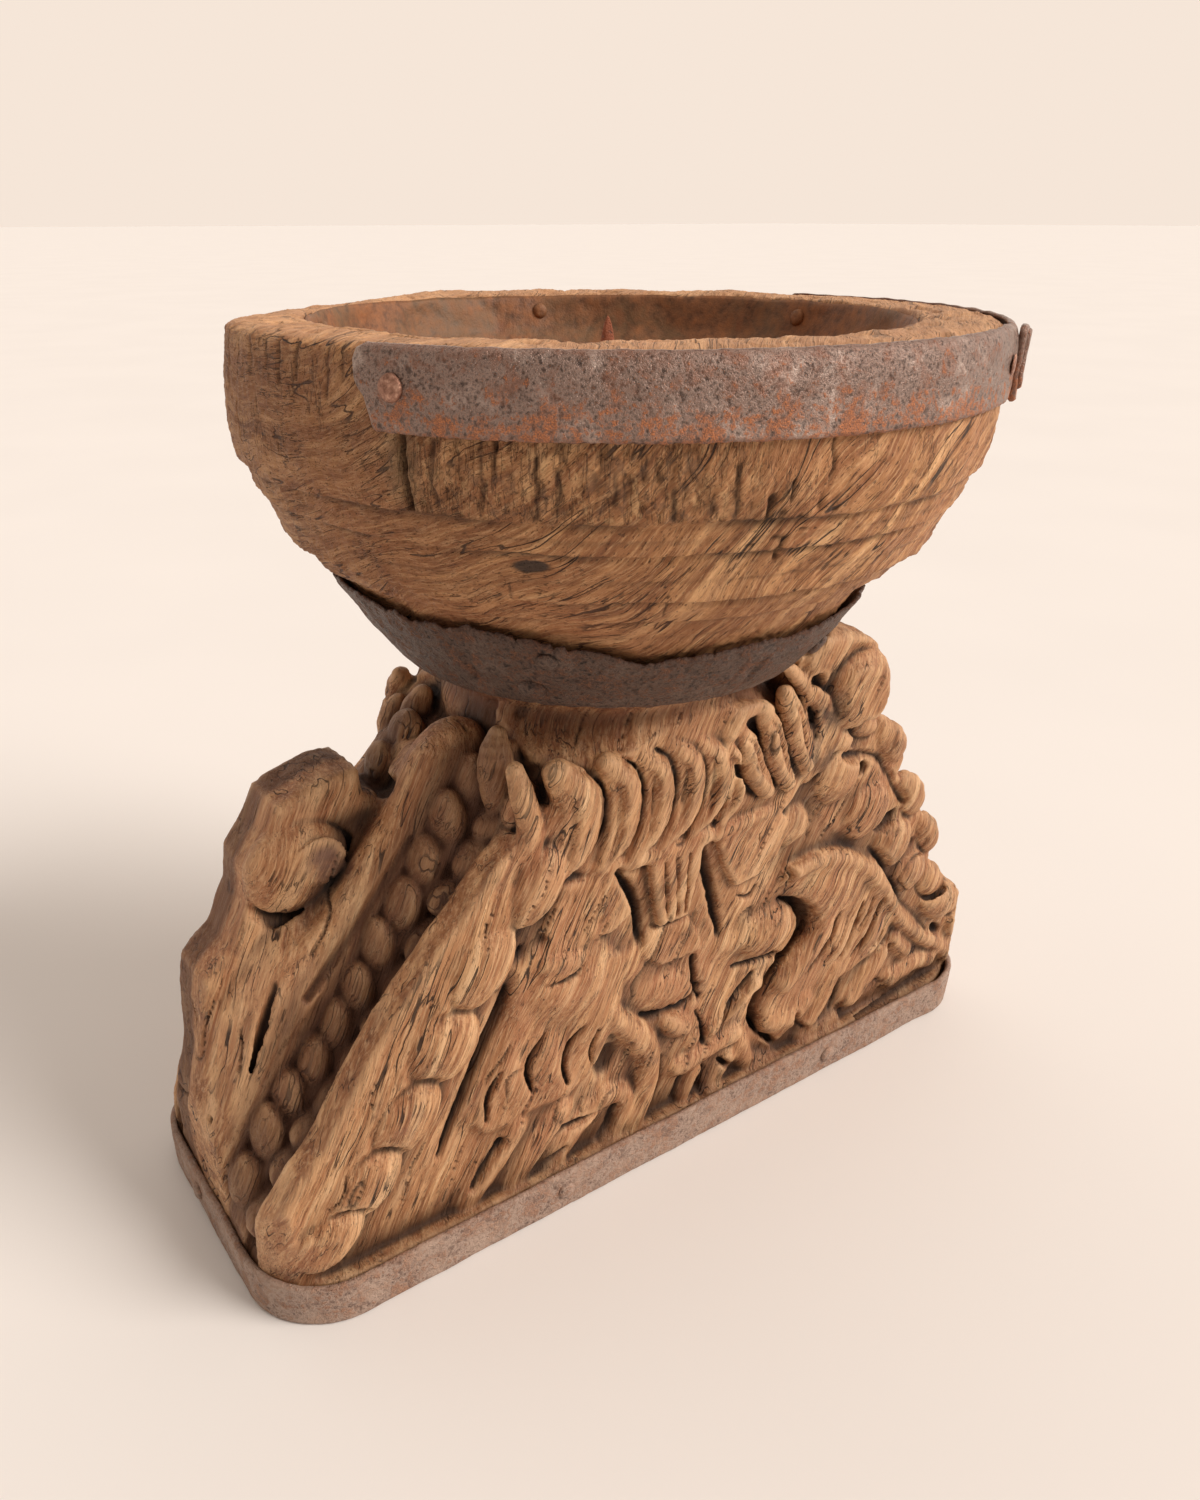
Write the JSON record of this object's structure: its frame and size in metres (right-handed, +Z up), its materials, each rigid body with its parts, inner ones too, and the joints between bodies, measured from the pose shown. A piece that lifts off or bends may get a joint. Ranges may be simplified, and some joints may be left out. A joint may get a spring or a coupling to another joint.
{
  "type": "carved candle stand",
  "caption": "Carved wooden block on an iron-banded foot, with a turned bowl, iron rim straps and collar, a lined well and a candle spike.",
  "frame": {"origin": "centre of the foot's flat resting face", "axes": "+X along the foot's long side, -Y towards the carved front face, +Z up along the bowl's axis"},
  "size_m": [0.2942, 0.1993, 0.248],
  "materials": {
    "carved_wood": "weathered, waxed old hardwood with open grain",
    "turned_wood": "weathered turned hardwood with checks and worn edges",
    "foot_iron": "rusted hand-forged strip, dry",
    "strap_iron": "dark patinated iron with orange rust patches",
    "collar_iron": "dark rusted sheet iron",
    "pan_iron": "brown rusted sheet iron",
    "copper_nails": "dull coppery nail heads"
  },
  "bodies": {
    "root": {"base_block": "carved_wood", "foot_band": "foot_iron", "band_nails": "foot_iron", "bowl": "turned_wood", "liner_pan": "pan_iron", "liner_nails": "pan_iron", "pricket": "pan_iron", "rim_strap_front": "strap_iron", "rim_strap_rear": "strap_iron", "strap_nails": "copper_nails", "collar": "collar_iron", "collar_nails": "collar_iron"}
  },
  "joints": []
}
